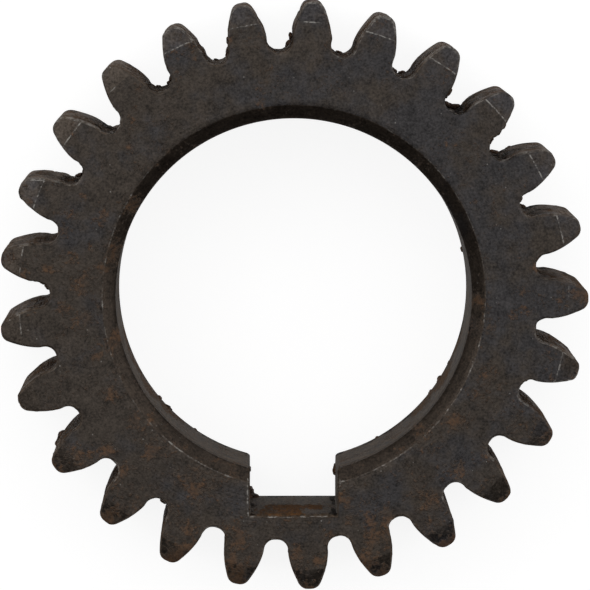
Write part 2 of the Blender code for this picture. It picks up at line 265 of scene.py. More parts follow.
class StudioSettings(bpy.types.PropertyGroup):
    """Camera and light. A radiance is how bright a lamp looks, where 1 is white."""

    camera_distance: length_setting("Camera distance", "From the camera to the front face", 0.784)
    camera_tilt: angle_setting("Camera tilt", "Lean of the view towards +Y", 4.232)
    camera_swing: angle_setting("Camera swing", "Lean of the view towards +X", -0.458)
    focal_length: number_setting("Focal length", "Of a 36 mm wide sensor, in millimetres", 329.5)
    frame_shift: bpy.props.FloatVectorProperty(
        name="Frame shift", description="Shift of the picture, as a share of its width",
        default=(0.00196, 0.00337), size=2)
    top_radiance: number_setting("Top softbox", "Radiance of the softbox above", 0.93)
    panel_radiance: number_setting("Side panels", "Radiance of the panels at the sides and the back", 1.1)
    world_radiance: number_setting("Room brightness", "Radiance of the room", 0.07)
    floor_radiance: number_setting("Floor brightness", "Light that the floor adds to its own look", 0.88)


def direction(angle):
    """Unit plan vectors: cosine and sine of the angles."""
    return np.stack((np.cos(angle), np.sin(angle)), axis=-1)


def lattice_noise(points, cell, seed):
    """Smooth noise from -1 to 1.

    Random values stand on a cubic lattice. Between them the value is the sum over the eight corners of the
    cell of value times weight, where a weight is the product of smooth steps, 3t squared minus 2t cubed,
    along each axis.
    """
    size = 32
    table = np.random.default_rng(seed).uniform(-1.0, 1.0, (size, size, size))
    scaled = points / cell
    base = np.floor(scaled).astype(int)
    step = scaled - base
    step = step * step * (3.0 - 2.0 * step)
    total = np.zeros(points.shape[:-1])
    for corner in itertools.product((0, 1), repeat=3):
        weight = np.prod(np.where(corner, step, 1.0 - step), axis=-1)
        index = (base + np.array(corner)) % size
        total += weight * table[index[..., 0], index[..., 1], index[..., 2]]
    return total


def rough_noise(points, cell, seed, layers=3):
    """Sum of lattice noise whose cell and share halve with each layer, so it stays about within -1 to 1."""
    total = np.zeros(points.shape[:-1])
    for layer in range(layers):
        total += lattice_noise(points, cell / 2 ** layer, seed + layer) / 2 ** layer
    return total / (2.0 - 2.0 ** (1 - layers))


def place_field(plan, places):
    """Strength of the nearest place: each place gives strength times e to the minus (distance over reach)
    squared, and the largest counts."""
    field = np.zeros(plan.shape[:-1])
    for radius, degrees, reach, strength in places:
        centre = direction(math.radians(degrees)) * radius * MM
        distance = np.linalg.norm(plan - centre, axis=-1) / (reach * MM)
        field = np.maximum(field, strength * np.exp(-distance ** 2))
    return field


def ramp(value, start, length):
    """Rises evenly from 0 at the start to 1 where the length ends."""
    return np.clip((value - start) / length, 0.0, 1.0)


def streaked(points, axial):
    """Points pressed together along the axis, so that noise on them runs in streaks."""
    return points * (1.0, 1.0, axial)


class GearForm:
    """Radii and angles worked out from the gear's sizes."""

    def __init__(self, sizes):
        self.pitch = sizes.module * sizes.tooth_count / 2
        self.base = self.pitch * math.cos(sizes.pressure_angle)
        self.tip = self.pitch + sizes.module * sizes.tip_height
        self.root = self.pitch - sizes.module * sizes.root_depth
        self.bore = self.root - sizes.rim_wall
        self.tip_chamfer = self.tip - sizes.tip_chamfer_height
        self.bore_chamfer = self.bore + sizes.chamfer_width
        self.half_pitch = math.pi / sizes.tooth_count
        self.base_half_angle = self.half_pitch / 2 + math.tan(sizes.pressure_angle) - sizes.pressure_angle
        self.first_tooth = -math.pi / 2 + sizes.tooth_phase
        self.face = sizes.face_width
        self.tip_slope = math.tan(sizes.tip_chamfer_angle)
        self.front_slope = sizes.front_chamfer_depth / sizes.chamfer_width
        self.back_slope = sizes.back_chamfer_depth / sizes.chamfer_width

    def drop(self, radius, bore_slope):
        """Fall of a face: by the tip chamfer outside its circle, by the bore chamfer inside its own."""
        outside = np.maximum(0.0, radius - self.tip_chamfer) * self.tip_slope
        inside = np.maximum(0.0, self.bore_chamfer - radius) * bore_slope
        return outside + inside

    def front(self, radius):
        """Height of the front at a radius: the face width less the drop."""
        return self.face - self.drop(radius, self.front_slope)

    def back(self, radius):
        """Height of the back at a radius: the drop itself."""
        return self.drop(radius, self.back_slope)


def half_tooth(sizes, form, count):
    """Points and outward normals of half a tooth along +X, at even steps of outline length, and the share of
    the length where the root fillet starts.

    From the middle of the tip: an arc of the tip circle; the tip round, centre plus radius times direction;
    the involute, the end of a taut string that leaves the base circle, foot point plus string length times
    tangent; a straight radial foot; the root fillet, centre minus radius times direction; an arc of the root
    circle.
    """
    tip_centre_radius = form.tip - sizes.tip_round
    string = math.sqrt(tip_centre_radius ** 2 - form.base ** 2)
    tip_roll = string + sizes.tip_round
    tip_angle = form.base_half_angle - tip_roll / form.base + math.atan(string / form.base)
    tip_turn = form.base_half_angle - tip_roll / form.base + math.pi / 2
    root_centre_radius = form.root + sizes.root_fillet
    root_angle = form.base_half_angle + math.asin(sizes.root_fillet / root_centre_radius)
    foot_radius = math.sqrt(root_centre_radius ** 2 - sizes.root_fillet ** 2)
    foot_turn = form.base_half_angle + math.pi / 2

    land = np.linspace(0.0, tip_angle, OUTLINE_SAMPLES)
    rounding = np.linspace(tip_angle, tip_turn, OUTLINE_SAMPLES)
    roll = np.linspace(tip_roll, 0.0, OUTLINE_SAMPLES)
    foot_angle = form.base_half_angle - roll / form.base
    tangent = direction(foot_angle + math.pi / 2)
    foot = np.linspace(form.base, foot_radius, OUTLINE_SAMPLES)[:, None]
    hollow = np.linspace(foot_turn, root_angle, OUTLINE_SAMPLES)
    floor = np.linspace(root_angle, form.half_pitch, OUTLINE_SAMPLES)
    points = np.concatenate((
        direction(land) * form.tip,
        direction(tip_angle) * tip_centre_radius + direction(rounding) * sizes.tip_round,
        direction(foot_angle) * form.base + tangent * roll[:, None],
        direction(form.base_half_angle) * foot,
        direction(root_angle) * root_centre_radius - direction(hollow) * sizes.root_fillet,
        direction(floor) * form.root,
    ))
    normals = np.concatenate((
        direction(land), direction(rounding), tangent, direction(np.full(OUTLINE_SAMPLES, foot_turn)),
        direction(hollow), direction(floor),
    ))
    steps = np.linalg.norm(np.diff(points, axis=0), axis=1)
    length = np.concatenate(((0.0,), np.cumsum(steps)))
    wanted = (np.arange(count) + 0.5) / count * length[-1]
    sampled = np.stack([np.interp(wanted, length, values) for values in (*points.T, *normals.T)], axis=-1)
    points, normals = sampled[:, :2], sampled[:, 2:]
    normals /= np.linalg.norm(normals, axis=1, keepdims=True)
    return points, normals, length[4 * OUTLINE_SAMPLES] / length[-1]


def toothed_outline(sizes, form):
    """Points, outward normals and inner directions of the whole toothed plan, counter-clockwise.

    The half tooth is mirrored and both halves are turned to each tooth. The inner direction is where a column
    of the surface meets the bore: it rises evenly to the foot of the flank and then evenly to the middle of
    the root, so that no column leaves the metal.
    """
    half = COLUMNS_PER_TOOTH // 2
    points, normals, foot_share = half_tooth(sizes, form, half)
    share = (np.arange(half) + 0.5) / half
    inner = np.interp(share, (0.0, foot_share, 1.0), (0.0, INNER_FOOT_ANGLE, form.half_pitch))
    mirror = np.array((1.0, -1.0))
    points = np.concatenate((points[::-1] * mirror, points))
    normals = np.concatenate((normals[::-1] * mirror, normals))
    inner = np.concatenate((-inner[::-1], inner))
    turns = form.first_tooth + 2 * form.half_pitch * np.arange(sizes.tooth_count)
    cosine, sine = np.cos(turns)[:, None], np.sin(turns)[:, None]

    def turned(vectors):
        x, y = vectors[:, 0], vectors[:, 1]
        return np.stack((x * cosine - y * sine, x * sine + y * cosine), axis=-1).reshape(-1, 2)

    return turned(points), turned(normals), (inner + turns[:, None]).reshape(-1)


def keyed_bore(sizes, form, angle):
    """Points and normals of the bore for directions from the axis, and where they lie in the keyway.

    Outside the keyway the point is the bore radius times its direction. In the keyway the share of the angle
    runs along the floor to its corner, up the side and round the mouth, whose round is centre minus radius
    times direction. Both sides mirror each other.
    """
    offset = (angle + math.pi / 2 + math.pi) % (2 * math.pi) - math.pi
    side, offset = np.sign(offset), np.abs(offset)
    half_width = sizes.keyway_width / 2
    floor = form.bore + sizes.keyway_depth
    centre_x = half_width + sizes.mouth_round
    centre_y = math.sqrt((form.bore + sizes.mouth_round) ** 2 - centre_x ** 2)
    mouth = math.atan2(centre_x, centre_y)
    wall_end = mouth - (mouth - KEYWAY_CORNER_ANGLE) * MOUTH_SHARE
    marks = (0.0, KEYWAY_CORNER_ANGLE, wall_end)
    x = np.interp(offset, marks, (0.0, half_width, half_width))
    y = np.interp(offset, marks, (floor, floor, centre_y))
    bend = np.interp(offset, (wall_end, mouth), (0.0, math.pi / 2 - mouth))
    on_round = (offset > wall_end) & (offset <= mouth)
    x = np.where(on_round, centre_x - sizes.mouth_round * np.cos(bend), x)
    y = np.where(on_round, centre_y - sizes.mouth_round * np.sin(bend), y)
    normal_x = np.where(offset < KEYWAY_CORNER_ANGLE, 0.0, -np.cos(bend))
    normal_y = np.where(offset < KEYWAY_CORNER_ANGLE, -1.0, -np.sin(bend))
    in_bore = offset > mouth
    x = np.where(in_bore, form.bore * np.sin(offset), x)
    y = np.where(in_bore, form.bore * np.cos(offset), y)
    normal_x = np.where(in_bore, -np.sin(offset), normal_x)
    normal_y = np.where(in_bore, -np.cos(offset), normal_y)
    points = np.stack((side * x, -y), axis=-1)
    normals = np.stack((side * normal_x, -normal_y), axis=-1)
    return points, normals, ~in_bore, offset < KEYWAY_CORNER_ANGLE


class GearSurface:
    """Rows of the gear's surface, each one closed line round the axis, from the foot of the bore wall over
    the front, down the teeth and back under to the bore."""

    def __init__(self, sizes):
        self.form = form = GearForm(sizes)
        self.edge_break = sizes.edge_break
        self.outer, self.outer_normal, inner_angle = toothed_outline(sizes, form)
        self.inner, self.inner_normal, self.in_keyway, self.on_floor = keyed_bore(sizes, form, inner_angle)
        self.inset = self.outer - self.outer_normal * self.edge_break
        self.chord = self.inset - self.inner
        self.length = np.linalg.norm(self.chord, axis=1)
        self.inner_radius = np.linalg.norm(self.inner, axis=1)
        self.rim = np.where(self.in_keyway, KEYWAY_EDGE, GUARD)
        self.guard = GUARD / self.length
        self.plan, self.height, self.band, self.rim_gap = [], [], [], []

    def share_at(self, radius):
        """Share of each column's line where it crosses a circle: the positive root of its quadratic."""
        a = np.sum(self.chord ** 2, axis=1)
        b = 2 * np.sum(self.inner * self.chord, axis=1)
        c = self.inner_radius ** 2 - radius ** 2
        return (-b + np.sqrt(np.maximum(0.0, b * b - 4 * a * c))) / (2 * a)

    def add_row(self, plan, height, band, gap):
        """One row of the surface. Its band names the face from this row to the next."""
        self.plan.append(plan)
        self.height.append(np.broadcast_to(height, len(plan)))
        self.band.append(band)
        self.rim_gap.append(np.broadcast_to(gap, len(plan)))

    def on_bands(self, *bands):
        """True for the rows of these bands."""
        return np.isin(self.band, bands)[:, None]

    def add_face_row(self, share, surface, band):
        """A row round a face: a share of the way from the bore to the broken edge, at the face's height."""
        plan = self.inner + self.chord * share[:, None]
        height = surface(np.linalg.norm(plan, axis=1))
        self.add_row(plan, height, band, (1.0 - share) * self.length)

    def face_shares(self, flat_rows, cone_rows, chamfer_rows):
        """Shares and bands of the rows of a face, from the bore outwards.

        Guard rows stand a small way to each side of the two turned edges, so that the edges stay crisp.
        """
        form, guard = self.form, self.guard
        chamfer_edge = np.maximum(self.share_at(form.bore_chamfer), LEAST_SHARE)
        cone_edge = np.minimum(self.share_at(form.tip_chamfer), 1.0 - 5 * guard)
        rim = self.rim / self.length
        spans = (
            ("bore_chamfer", chamfer_rows, rim, np.maximum(chamfer_edge - guard, 1.2 * rim)),
            ("face", flat_rows, np.maximum(chamfer_edge + guard, 1.5 * rim), cone_edge - guard),
            ("tip_chamfer", cone_rows, cone_edge + guard, 1.0 - guard),
        )
        return [
            (start + (end - start) * step, band)
            for band, count, start, end in spans for step in np.linspace(0.0, 1.0, count)]

    def add_front(self):
        """Rows of the front, from the bore outwards."""
        for share, band in self.face_shares(flat_rows=12, cone_rows=3, chamfer_rows=4):
            self.add_face_row(share, self.form.front, band)

    def add_back(self):
        """Rows of the back, from the teeth inwards. A row's band is that of the face that follows it."""
        rows = self.face_shares(flat_rows=5, cone_rows=2, chamfer_rows=3)
        bands = [band for _, band in rows]
        for (share, _), band in zip(rows[::-1], bands[:-1][::-1] + ["bore_wall"]):
            self.add_face_row(share, self.form.back, band)

    def add_broken_edge(self, surface, sign, steps, last_band):
        """Rows of the broken edge, straight from the inset line to the wall or the other way."""
        wall_radius = np.linalg.norm(self.outer, axis=1)
        inset_radius = np.linalg.norm(self.inset, axis=1)
        wall_height = surface(wall_radius) - sign * self.edge_break
        inset_height = surface(inset_radius)
        for step in steps:
            plan = self.inset + (self.outer - self.inset) * step
            height = inset_height + (wall_height - inset_height) * step
            self.add_row(plan, height, "broken_edge" if step != steps[-1] else last_band, 0.0)

    def add_tooth_wall(self, rows):
        """Rows down the tooth walls, between the two broken edges."""
        radius = np.linalg.norm(self.outer, axis=1)
        top = self.form.front(radius) - self.edge_break - GUARD
        bottom = self.form.back(radius) + self.edge_break + GUARD
        for step in np.linspace(0.0, 1.0, rows):
            height = top + (bottom - top) * step
            band = "tooth_wall" if step < 1.0 else "broken_edge"
            self.add_row(self.outer, height, band, top - height + GUARD)

    def add_bore_wall(self, rows):
        """Rows up the bore and the keyway, between the two bore chamfers."""
        top = self.form.front(self.inner_radius) - self.rim
        bottom = self.form.back(self.inner_radius) + self.rim
        for step in np.linspace(0.0, 1.0, rows):
            height = bottom + (top - bottom) * step
            self.add_row(self.inner, height, "bore_wall" if step < 1.0 else "bore_rim", NO_RIM)

    def build(self):
        """All rows in order. The last one joins the first."""
        self.add_bore_wall(rows=10)
        self.add_front()
        self.add_broken_edge(self.form.front, 1.0, (0.0, 0.3, 0.7, 1.0), "tooth_wall")
        self.add_tooth_wall(rows=16)
        self.add_broken_edge(self.form.back, -1.0, (1.0, 0.5, 0.0), "tip_chamfer")
        self.add_back()
        points = np.concatenate((np.array(self.plan), np.array(self.height)[..., None]), axis=-1)
        return points, np.array(self.rim_gap)


def grid_normals(points):
    """Normals of a grid closed both ways: cross product of the mean directions along and across a row."""

    def mean_direction(axis):
        ahead = np.roll(points, -1, axis=axis) - points
        ahead /= np.linalg.norm(ahead, axis=-1, keepdims=True)
        return ahead + np.roll(ahead, 1, axis=axis)

    normals = np.cross(mean_direction(1), mean_direction(0))
    return normals / np.linalg.norm(normals, axis=-1, keepdims=True)


def wear_surface(points, rim_gap, surface, wear):
    """Worn surface and the grime on it: each point moves along its normal.

    All of it sinks by the waviness times noise that is never positive. Tooth walls lose pits where rough
    noise is high and gain scale in the roots, where a place's field times clipped noise is added. Edges lose
    nicks, which fade by e to the minus (distance over reach) squared. At last every point is held inside the
    solid's box.
    """
    normals = grid_normals(points)
    on_wall = surface.on_bands("tooth_wall", "broken_edge")
    move = wear.waviness * (rough_noise(points, 3.0 * MM, wear.seed) - 1.0) / 2
    pits = np.clip(rough_noise(points, 0.9 * MM, wear.seed + 10) - 0.25, 0.0, 1.0)
    move -= wear.flank_pitting * pits * on_wall * 2.0
    growth = place_field(points[..., :2], SCALE_PLACES)
    lumps = np.clip(rough_noise(streaked(points, 0.35), 0.8 * MM, wear.seed + 20) + 0.55, 0.0, 1.0)
    move += wear.scale_height * growth * lumps * on_wall
    edge = np.exp(-(rim_gap / (0.3 * MM)) ** 2)
    nicks = np.clip(rough_noise(points, 1.1 * MM, wear.seed + 30) - 0.3, 0.0, 1.0)
    move -= wear.edge_nicks * nicks * edge * 2.0
    worn = np.clip(points + normals * move[..., None], tuple(GEAR_LOW), tuple(GEAR_HIGH))
    return worn, 0.3 * np.clip(growth, 0.0, 1.0) * on_wall


def ball_form(steps):
    """Corner directions and four-sided faces of a closed ball.

    A square lattice lies on each side of a cube, and each of its points is divided by its distance from the
    middle. Points that sides share are one corner. Sides opposite to each other are wound the other way.
    """
    line = np.linspace(-1.0, 1.0, steps + 1)
    u, v = np.meshgrid(line, line, indexing="ij")
    w = np.ones_like(u)
    sides = np.array([np.stack(side, axis=-1) for side in ((w, u, v), (v, w, u), (u, v, w))])
    index = np.arange(sides[..., 0].size).reshape(sides.shape[:-1])
    quads = np.stack((index[:, :-1, :-1], index[:, 1:, :-1], index[:, 1:, 1:], index[:, :-1, 1:]), axis=-1)
    quads = quads.reshape(-1, 4)
    points = np.concatenate((sides.reshape(-1, 3), -sides.reshape(-1, 3)))
    quads = np.concatenate((quads, quads[:, ::-1] + index.size))
    points, shared = np.unique(points.round(6), axis=0, return_inverse=True)
    return points / np.linalg.norm(points, axis=1, keepdims=True), shared.reshape(-1)[quads]


def scale_lumps(surface, seed):
    """Corner points and faces of the lumps of scale.

    Round each place stand a few lumps at random. Each one's middle is the wall point nearest to it, and its
    surface is middle plus radius times direction times one plus half of rough noise. It is flattened against
    the wall, by taking away part of the direction's share along the wall's normal, and longer along the axis.
    """
    random = np.random.default_rng(seed + 50)
    radius, degrees, height, size = np.repeat(np.array(SCALE_LUMPS), LUMPS_TO_A_PLACE, axis=0).T
    spread = random.uniform(-0.6, 0.6, (3, len(size))) * size * ((1.0,), (1.0,), (2.2,))
    size = size * random.uniform(0.35, 1.0, len(size))
    wanted = direction(np.radians(degrees)) * radius[:, None] + spread[:2].T
    walls = np.concatenate((surface.outer, surface.inner))
    outwards = np.concatenate((surface.outer_normal, -surface.inner_normal))
    nearest = np.argmin(np.linalg.norm(wanted[:, None] * MM - walls, axis=-1), axis=1)
    level = np.clip(height + spread[2], LUMP_MARGIN, surface.form.face / MM - LUMP_MARGIN) * MM
    middles = np.concatenate((walls[nearest], level[:, None]), axis=1)
    normals = np.concatenate((outwards[nearest], np.zeros((len(size), 1))), axis=1)[:, None]
    form, faces = ball_form(LUMP_STEPS)
    along = np.sum(form * normals, axis=-1, keepdims=True)
    reach = (size * MM)[:, None, None] * (form * (1.0, 1.0, 1.7) - 0.35 * along * normals)
    bumps = rough_noise(middles[:, None] + reach, 0.5 * MM, seed + 60)
    points = middles[:, None] + reach * (1.0 + 0.5 * bumps[..., None])
    points = np.clip(points, tuple(GEAR_LOW), tuple(GEAR_HIGH))
    first = (np.arange(len(size)) * len(form))[:, None, None]
    return points.reshape(-1, 3), (faces + first).reshape(-1, 4)


def grid_faces(rows, columns):
    """Corner numbers of the four-sided faces of a grid closed both ways, wound so that they face outwards."""
    index = np.arange(rows * columns).reshape(rows, columns)
    right = np.roll(index, -1, axis=1)
    up = np.roll(index, -1, axis=0)
    across = np.roll(right, -1, axis=0)
    return np.stack((index, right, across, up), axis=-1).reshape(-1, 4)


def mesh_object(name, vertices, faces, materials, face_materials):
    """Object at the origin from arrays of corner points and four-sided faces, shaded smooth."""
    mesh = bpy.data.meshes.new(name)
    mesh.vertices.add(len(vertices))
    mesh.vertices.foreach_set("co", vertices.astype(np.float32).ravel())
    mesh.loops.add(faces.size)
    mesh.loops.foreach_set("vertex_index", faces.astype(np.int32).ravel())
    mesh.polygons.add(len(faces))
    mesh.polygons.foreach_set("loop_start", np.arange(0, faces.size, 4, dtype=np.int32))
    for material in materials:
        mesh.materials.append(material)
    mesh.polygons.foreach_set("material_index", face_materials.astype(np.int32))
    mesh.update(calc_edges=True)
    mesh.validate()
    mesh.shade_smooth()
    made = bpy.data.objects.new(name, mesh)
    bpy.context.scene.collection.objects.link(made)
    return made


def add_point_values(mesh, name, values):
    """Named number on each vertex, for the materials."""
    attribute = mesh.attributes.new(name, "FLOAT", "POINT")
    attribute.data.foreach_set("value", values.astype(np.float32).ravel())


class Wire:
    """Output of a node, reckoned with as in a formula: each sign adds a Math node to its tree."""

    def __init__(self, socket):
        self.socket = socket
        self.tree = socket.id_data

    def __add__(self, other):
        return calculate("ADD", self, other)

    def __sub__(self, other):
        return calculate("SUBTRACT", self, other)

    def __rsub__(self, other):
        return calculate("SUBTRACT", other, self)

    def __mul__(self, other):
        return calculate("MULTIPLY", self, other)

    def __truediv__(self, other):
        return calculate("DIVIDE", self, other)

    __radd__ = __add__
    __rmul__ = __mul__


def fill_inputs(node, inputs):
    """Links a node's inputs to wires, or sets them to values."""
    for name, value in inputs.items():
        if isinstance(value, Wire):
            value.tree.links.new(value.socket, node.inputs[name])
        else:
            node.inputs[name].default_value = value


def add_node(tree, kind, inputs, **settings):
    """Shader node with its settings and inputs."""
    node = tree.nodes.new(kind)
    for name, value in settings.items():
        setattr(node, name, value)
    fill_inputs(node, inputs)
    return node


def wires(node):
    """All outputs of a node, by name."""
    return {socket.name: Wire(socket) for socket in node.outputs}


def calculate(operation, *values):
    """Result of a Math node on wires and numbers."""
    tree = next(value.tree for value in values if isinstance(value, Wire))
    return Wire(add_node(tree, "ShaderNodeMath", dict(enumerate(values)), operation=operation).outputs[0])


def vector_result(operation, vector, inputs, output="Vector"):
    """Result of a Vector Math node on a vector and its other inputs."""
    node = add_node(vector.tree, "ShaderNodeVectorMath", {0: vector, **inputs}, operation=operation)
    return wires(node)[output]


def mapped(value, low, high, to_low=0.0, to_high=1.0):
    """Value carried smoothly from one range to another and kept inside it."""
    inputs = {"Value": value, "From Min": low, "From Max": high, "To Min": to_low, "To Max": to_high}
    node = add_node(value.tree, "ShaderNodeMapRange", inputs, interpolation_type="SMOOTHSTEP")
    return Wire(node.outputs["Result"])


def mixed_colour(share, first, second):
    """Blend of two colours. A Mix node keeps its colours in sockets 6 and 7 and their blend in output 2."""
    node = add_node(share.tree, "ShaderNodeMix", {0: share, 6: first, 7: second}, data_type="RGBA")
    return Wire(node.outputs[2])


def noise(position, scale, detail, roughness, distortion=0.0):
    """Value of a Noise Texture."""
    inputs = {"Vector": position, "Scale": scale, "Detail": detail, "Roughness": roughness,
              "Distortion": distortion}
    return Wire(add_node(position.tree, "ShaderNodeTexNoise", inputs).outputs["Fac"])


def axis_distance(position):
    """Distance from the axis, in metres."""
    flat = vector_result("MULTIPLY", position, {1: (1.0, 1.0, 0.0)})
    return vector_result("LENGTH", flat, {}, "Value")


def attribute_value(tree, name):
    """Number that the mesh carries under a name."""
    return Wire(add_node(tree, "ShaderNodeAttribute", {}, attribute_name=name).outputs["Fac"])


def new_group(name, colours, numbers, results):
    """Empty node group that takes a Position, colours, and numbers with their defaults: its tree, the wires
    of its inputs and its output node. A result is a number, or the Color."""
    tree = bpy.data.node_groups.new(name, "ShaderNodeTree")
    kinds = {"Position": "NodeSocketVector", **dict.fromkeys((*colours, "Color"), "NodeSocketColor")}
    for label in ("Position", *colours, *numbers):
        kind = kinds.get(label, "NodeSocketFloat")
        socket = tree.interface.new_socket(label, in_out="INPUT", socket_type=kind)
        if label in numbers:
            socket.default_value = numbers[label]
    for label in results:
        kind = kinds.get(label, "NodeSocketFloat")
        tree.interface.new_socket(label, in_out="OUTPUT", socket_type=kind)
    given = wires(tree.nodes.new("NodeGroupInput"))
    return tree, given, tree.nodes.new("NodeGroupOutput")


def make_oxide_group():
    """Mottled oxidised steel: two tones in patches, fine grain, and turned or milled lines."""
    tree, given, leave = new_group(
        "oxidised_steel", ("Steel", "Blued"), {"Blueness": 0.0, "Mottle": 0.25, "Grain": 0.25, "Lines": 0.1},
        ("Color", "Roughness", "Height"))
    position = given["Position"]
    patches = noise(position, 150.0, 5.0, 0.62)
    mottle = noise(position, 560.0, 4.0, 0.62)
    grain = noise(position, 2900.0, 2.0, 0.65)
    ring_noise = {"W": axis_distance(position), "Scale": 2400.0, "Detail": 2.0}
    turned = Wire(add_node(tree, "ShaderNodeTexNoise", ring_noise, noise_dimensions="1D").outputs["Fac"])
    left = mapped(noise(position, 260.0, 3.0, 0.6), 0.4, 0.62)
    ridges = (turned - 0.5) * (given["Lines"] * left)
    blueness = mapped(patches + given["Blueness"], 0.43, 0.66)
    colour = mixed_colour(blueness, given["Steel"], given["Blued"])
    tone = (mottle - 0.5) * given["Mottle"] + (grain - 0.5) * given["Grain"] + (ridges + 1.0)
    fill_inputs(leave, {
        "Color": vector_result("SCALE", colour, {"Scale": tone}),
        "Roughness": 0.28 + mottle * 0.16,
        "Height": mottle * 0.7 + grain * 0.35 + ridges * 1.5,
    })
    return tree


def make_rust_group():
    """Rust bloom: ragged patches where noise plus the local amount is high, from old dark to fresh orange,
    each with a light and dark grain."""
    tree, given, leave = new_group(
        "rust_bloom", ("Old", "Fresh"), {"Amount": 0.0, "Threshold": 0.62, "Softness": 0.16},
        ("Mask", "Color", "Height"))
    position = given["Position"]
    broad = noise(position, 210.0, 6.0, 0.62, 0.4)
    fine = noise(position, 1700.0, 4.0, 0.7)
    value = broad + (fine - 0.5) * 1.2 + given["Amount"] * 0.4
    mask = mapped(value, given["Threshold"], given["Threshold"] + given["Softness"])
    freshness = mapped(noise(position, 520.0, 4.0, 0.62) + given["Amount"] * 0.15, 0.46, 0.7)
    colour = mixed_colour(freshness, given["Old"], given["Fresh"])
    grainy = vector_result("SCALE", colour, {"Scale": mapped(fine, 0.3, 0.7, 0.6, 1.4)})
    fill_inputs(leave, {"Mask": mask, "Color": grainy, "Height": mask * fine})
    return tree


def make_worn_edge_group():
    """Bright worn line: full at the edge, fading at a width that noise changes, and broken up along it."""
    tree, given, leave = new_group("worn_edge", (), {"Gap": 1.0, "Width": 0.0002, "Cover": 0.5}, ("Mask",))
    position = given["Position"]
    broken = noise(position, 520.0, 4.0, 0.65)
    speck = noise(position, 2100.0, 2.0, 0.6)
    gap = calculate("ABSOLUTE", given["Gap"])
    line = 1.0 - mapped(gap / (given["Width"] * (speck + 0.4)), 0.35, 1.0)
    start = 1.0 - given["Cover"]
    cover = mapped(broken, start - 0.12, start + 0.12)
    fill_inputs(leave, {"Mask": line * (cover * mapped(speck, 0.4, 0.66, 0.12, 1.0))})
    return tree


def make_speck_group():
    """Small pale specks: the cores of a few of the cells of a Voronoi pattern, most of them faint."""
    tree, given, leave = new_group("pale_specks", (), {"Scale": 1500.0, "Share": 0.03}, ("Mask",))
    cells = wires(add_node(
        tree, "ShaderNodeTexVoronoi", {"Vector": given["Position"], "Scale": given["Scale"]}))
    core = mapped(cells["Distance"], 0.08, 0.2, 1.0, 0.0)
    pick = wires(add_node(tree, "ShaderNodeSeparateColor", {"Color": cells["Color"]}))
    chosen = calculate("LESS_THAN", pick["Red"], given["Share"])
    fill_inputs(leave, {"Mask": core * (chosen * calculate("POWER", pick["Green"], 4.0))})
    return tree


def make_grime_group():
    """Dried grime: dark clotted patches where noise plus the local amount is high."""
    tree, given, leave = new_group("dried_grime", (), {"Amount": 0.0, "Threshold": 0.66}, ("Mask", "Height"))
    clots = noise(given["Position"], 900.0, 4.0, 0.6, 0.3)
    mask = mapped(clots + given["Amount"] * 0.5, given["Threshold"], given["Threshold"] + 0.14)
    fill_inputs(leave, {"Mask": mask, "Height": mask * clots})
    return tree


EFFECTS = {
    "oxidised_steel": make_oxide_group,
    "rust_bloom": make_rust_group,
    "worn_edge": make_worn_edge_group,
    "pale_specks": make_speck_group,
    "dried_grime": make_grime_group,
}


def place_effect(position, name, inputs):
    """Wires of a shared effect placed in a material. Its group is built when it is first asked for."""
    group = bpy.data.node_groups.get(name) or EFFECTS[name]()
    inputs = {"Position": position, **inputs}
    return wires(add_node(position.tree, "ShaderNodeGroup", inputs, node_tree=group))


@dataclasses.dataclass(frozen=True)
class Look:
    """Finish of one kind of surface. A worn line is its width, how much of it shows and its strength."""

    # What the steel's colours are multiplied by
    tint: tuple = (1.0, 1.0, 1.0)
    # How fine the patterns are along the axis against across it, below 1 for streaks
    axial: float = 1.0
    # What is taken from the blueness
    brown: float = 0.0
    # Contrast of the patches, the grain and the turned lines
    mottle: float = 1.6
    grain: float = 2.1
    lines: float = 0.32
    # Rust: the noise level where it starts, the width of its ragged edge, and how much of the steel it hides
    rust: float = 0.62
    rust_softness: float = 0.26
    rust_strength: float = 0.6
    # Noise level where grime starts, and share of the cells that hold a speck
    grime: float = 0.9
    specks: float = 0.14
    # Worn lines: on circles about the axis, whose radius comes first, along the rim and round the keyway
    rings: tuple = ()
    rim: tuple = ()
    keyway_edge: tuple = ()
    # Dark chips along a circle: its radius, their width and how much of it they take
    chips: tuple = ()
    # Shader values, where rougher is added to the roughness and bump is the height of the relief
    metallic: float = 0.8
    rougher: float = 0.0
    bump: float = 0.05 * MM
    specular: float = 0.4


